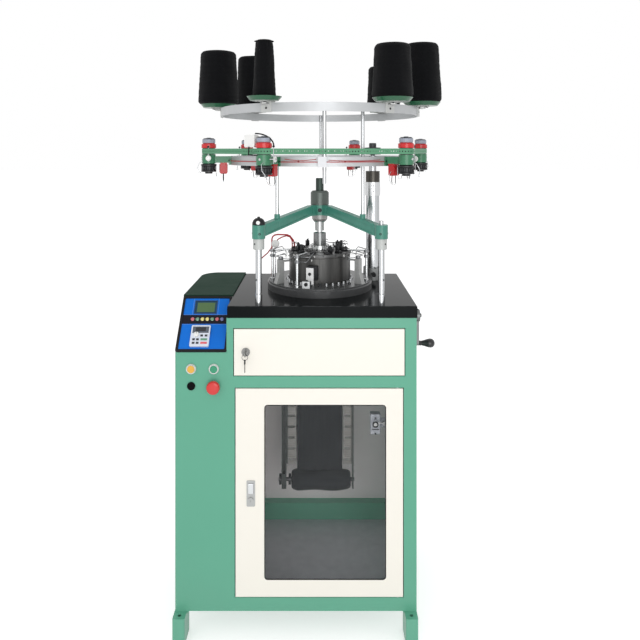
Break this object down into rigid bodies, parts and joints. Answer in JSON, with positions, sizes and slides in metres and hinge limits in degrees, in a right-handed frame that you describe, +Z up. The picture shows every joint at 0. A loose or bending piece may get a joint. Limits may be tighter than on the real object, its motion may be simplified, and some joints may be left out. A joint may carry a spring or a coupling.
{
  "type": "industrial knitting machine",
  "caption": "Small circular knitting machine on a steel cabinet with a glazed door, with a needle cylinder under a tripod bridge, belt-driven yarn feeders and a hoop of yarn cones.",
  "frame": {"origin": "on the floor under the centre of the machine's overall box", "axes": "+Z up, -Y towards the operator, +X to the crank's side; the spindle axis stands at x 0.014, y 0"},
  "size_m": [0.8238, 0.7271, 1.7893],
  "materials": {
    "cabinet_green": "satin powder coat",
    "cream_paint": "satin powder coat",
    "slab_black": "fine textured black paint",
    "lid_dark": "dark green paint",
    "inner_grey": "grey paint",
    "panel_blue": "printed film",
    "frame_white": "moulded",
    "keypad_grey": "moulded",
    "knob_black": "moulded",
    "lamp_mixed": "clear coloured caps",
    "bezel_grey": "moulded rings",
    "yellow_plastic": "moulded",
    "green_plastic": "moulded",
    "red_plastic": "moulded",
    "window_glass": "clear",
    "polished_steel": "bright turned",
    "blued_steel": "dark oxide",
    "cast_dark": "dark enamel",
    "bridge_paint": "green enamel on a casting",
    "screw_steel": "zinc plated",
    "lock_steel": "plated",
    "black_plastic": "moulded",
    "knit_black": "fine knitted tube",
    "yarn_black": "wound yarn",
    "belt_green": "perforated belt",
    "feeder_green": "moulded",
    "signal_red": "clear red",
    "wire_red": "insulated wire",
    "hoop_bright": "satin rolled bar",
    "dish_green": "moulded",
    "switch_grey": "moulded"
  },
  "bodies": {
    "machine": {"back_panel": "cabinet_green", "base_flange": "cast_dark", "base_frame": "cabinet_green", "belt_column": "polished_steel", "bridge_casting": "bridge_paint", "bridge_columns": "polished_steel", "button_bezels": "bezel_grey", "cabinet_front": "cabinet_green", "cam_drum": "blued_steel", "column_bushings": "polished_steel", "column_housing": "cabinet_green", "column_top_cover": "lid_dark", "cone_holders": "dish_green", "cone_hoop": "hoop_bright", "door_hinges": "polished_steel", "door_switch": "switch_grey", "drive_belt": "belt_green", "drive_keypad": "keypad_grey", "feeder_brackets": "feeder_green", "feeder_hoop": "hoop_bright", "foot_screws": "screw_steel", "hub_housing": "blued_steel", "indicator_lamps": "lamp_mixed", "inner_walls": "inner_grey", "panel_frame": "frame_white", "panel_plate": "panel_blue", "right_side_panel": "cabinet_green", "signal_wire": "wire_red", "stop_motions": "signal_red", "support_rods": "polished_steel", "table_slab": "slab_black", "yarn_cones": "yarn_black", "yarn_posts": "blued_steel"},
    "drawer": {"drawer_front": "cream_paint", "drawer_tray": "inner_grey"},
    "drawer_key": {"drawer_lock": "lock_steel"},
    "door": {"door_frame": "cream_paint", "door_window": "window_glass", "door_lock_plate": "lock_steel"},
    "door_latch": {"latch_button": "lock_steel"},
    "crank": {"crank_handle": "polished_steel"},
    "grip": {"crank_grip": "black_plastic"},
    "yellow_push": {"yellow_button": "yellow_plastic"},
    "green_push": {"green_button": "green_plastic"},
    "stop_push": {"stop_button": "red_plastic"},
    "speed_knob": {"keypad_knob": "knob_black"},
    "cylinder": {"needle_cylinder": "polished_steel", "cylinder_gear": "blued_steel", "fabric_tube": "knit_black", "takedown_frame": "inner_grey"},
    "dial": {"needle_dial": "polished_steel"},
    "takedown_roll": {"fabric_roll": "knit_black", "takedown_gears": "blued_steel"},
    "belt_pulley": {"drive_pulley": "blued_steel"},
    "feeder_1": {"feeder_wheel_1": "black_plastic"},
    "feeder_2": {"feeder_wheel_2": "black_plastic"},
    "feeder_3": {"feeder_wheel_3": "black_plastic"},
    "feeder_4": {"feeder_wheel_4": "black_plastic"},
    "feeder_5": {"feeder_wheel_5": "black_plastic"},
    "feeder_6": {"feeder_wheel_6": "black_plastic"}
  },
  "joints": [
    {"name": "drawer_slide", "type": "slide", "parent": "machine", "child": "drawer", "axis": [0, -1, 0], "range_m": [0, 0.085]},
    {"name": "drawer_key_turn", "type": "hinge", "parent": "drawer", "child": "drawer_key", "pos_m": [-0.2048, -0.262, 0.845], "axis": [0, 1, 0], "range_deg": [0, 90]},
    {"name": "door_swing", "type": "hinge", "parent": "machine", "child": "door", "pos_m": [0.2427, -0.254, 0.43], "axis": [0, 0, 1], "range_deg": [0, 110]},
    {"name": "latch_press", "type": "slide", "parent": "door", "child": "door_latch", "axis": [0, 1, 0], "range_m": [0, 0.003], "stiffness_N_per_m": 400},
    {"name": "cylinder_spin", "type": "hinge", "parent": "machine", "child": "cylinder", "pos_m": [0.014, 0, 0.98], "axis": [0, 0, 1], "continuous": true},
    {"name": "dial_spin", "type": "hinge", "parent": "machine", "child": "dial", "pos_m": [0.014, 0, 1.1], "axis": [0, 0, 1], "continuous": true},
    {"name": "crank_turn", "type": "hinge", "parent": "machine", "child": "crank", "pos_m": [0.339, 0, 0.881], "axis": [1, 0, 0], "continuous": true},
    {"name": "grip_turn", "type": "hinge", "parent": "crank", "child": "grip", "pos_m": [0.375, 0, 0.787], "axis": [1, 0, 0], "continuous": true},
    {"name": "roll_turn", "type": "hinge", "parent": "cylinder", "child": "takedown_roll", "pos_m": [0.014, 0, 0.327], "axis": [1, 0, 0], "continuous": true},
    {"name": "belt_pulley_spin", "type": "hinge", "parent": "machine", "child": "belt_pulley", "pos_m": [0.204, 0.118, 1.4363], "axis": [0, 0, 1], "continuous": true},
    {"name": "yellow_press", "type": "slide", "parent": "machine", "child": "yellow_push", "axis": [0, 1, 0], "range_m": [0, 0.004], "stiffness_N_per_m": 500},
    {"name": "green_press", "type": "slide", "parent": "machine", "child": "green_push", "axis": [0, 1, 0], "range_m": [0, 0.004], "stiffness_N_per_m": 500},
    {"name": "stop_press", "type": "slide", "parent": "machine", "child": "stop_push", "axis": [0, 1, 0], "range_m": [0, 0.003], "stiffness_N_per_m": 900},
    {"name": "speed_knob_turn", "type": "hinge", "parent": "machine", "child": "speed_knob", "pos_m": [-0.35581, -0.2269, 0.88023], "axis": [0, -0.7478, 0.6639], "range_deg": [-135, 135]},
    {"name": "feeder_1_spin", "type": "hinge", "parent": "machine", "child": "feeder_1", "pos_m": [-0.14529, -0.33396, 1.4363], "axis": [0, 0, 1], "continuous": true},
    {"name": "feeder_2_spin", "type": "hinge", "parent": "machine", "child": "feeder_2", "pos_m": [0.26634, -0.2706, 1.4363], "axis": [0, 0, 1], "continuous": true},
    {"name": "feeder_3_spin", "type": "hinge", "parent": "machine", "child": "feeder_3", "pos_m": [0.37139, 0.09576, 1.4363], "axis": [0, 0, 1], "continuous": true},
    {"name": "feeder_4_spin", "type": "hinge", "parent": "machine", "child": "feeder_4", "pos_m": [0.1526, 0.34306, 1.4363], "axis": [0, 0, 1], "continuous": true},
    {"name": "feeder_5_spin", "type": "hinge", "parent": "machine", "child": "feeder_5", "pos_m": [-0.26096, 0.24758, 1.4363], "axis": [0, 0, 1], "continuous": true},
    {"name": "feeder_6_spin", "type": "hinge", "parent": "machine", "child": "feeder_6", "pos_m": [-0.34501, -0.08951, 1.4363], "axis": [0, 0, 1], "continuous": true}
  ],
  "couplings": [
    {"joint": "dial_spin", "follows": "cylinder_spin", "ratio": 1},
    {"joint": "crank_turn", "follows": "cylinder_spin", "ratio": -5},
    {"joint": "roll_turn", "follows": "cylinder_spin", "ratio": 0.05},
    {"joint": "belt_pulley_spin", "follows": "cylinder_spin", "ratio": -2},
    {"joint": "feeder_1_spin", "follows": "cylinder_spin", "ratio": 2.4},
    {"joint": "feeder_2_spin", "follows": "cylinder_spin", "ratio": 2.4},
    {"joint": "feeder_3_spin", "follows": "cylinder_spin", "ratio": 2.4},
    {"joint": "feeder_4_spin", "follows": "cylinder_spin", "ratio": 2.4},
    {"joint": "feeder_5_spin", "follows": "cylinder_spin", "ratio": 2.4},
    {"joint": "feeder_6_spin", "follows": "cylinder_spin", "ratio": 2.4}
  ]
}
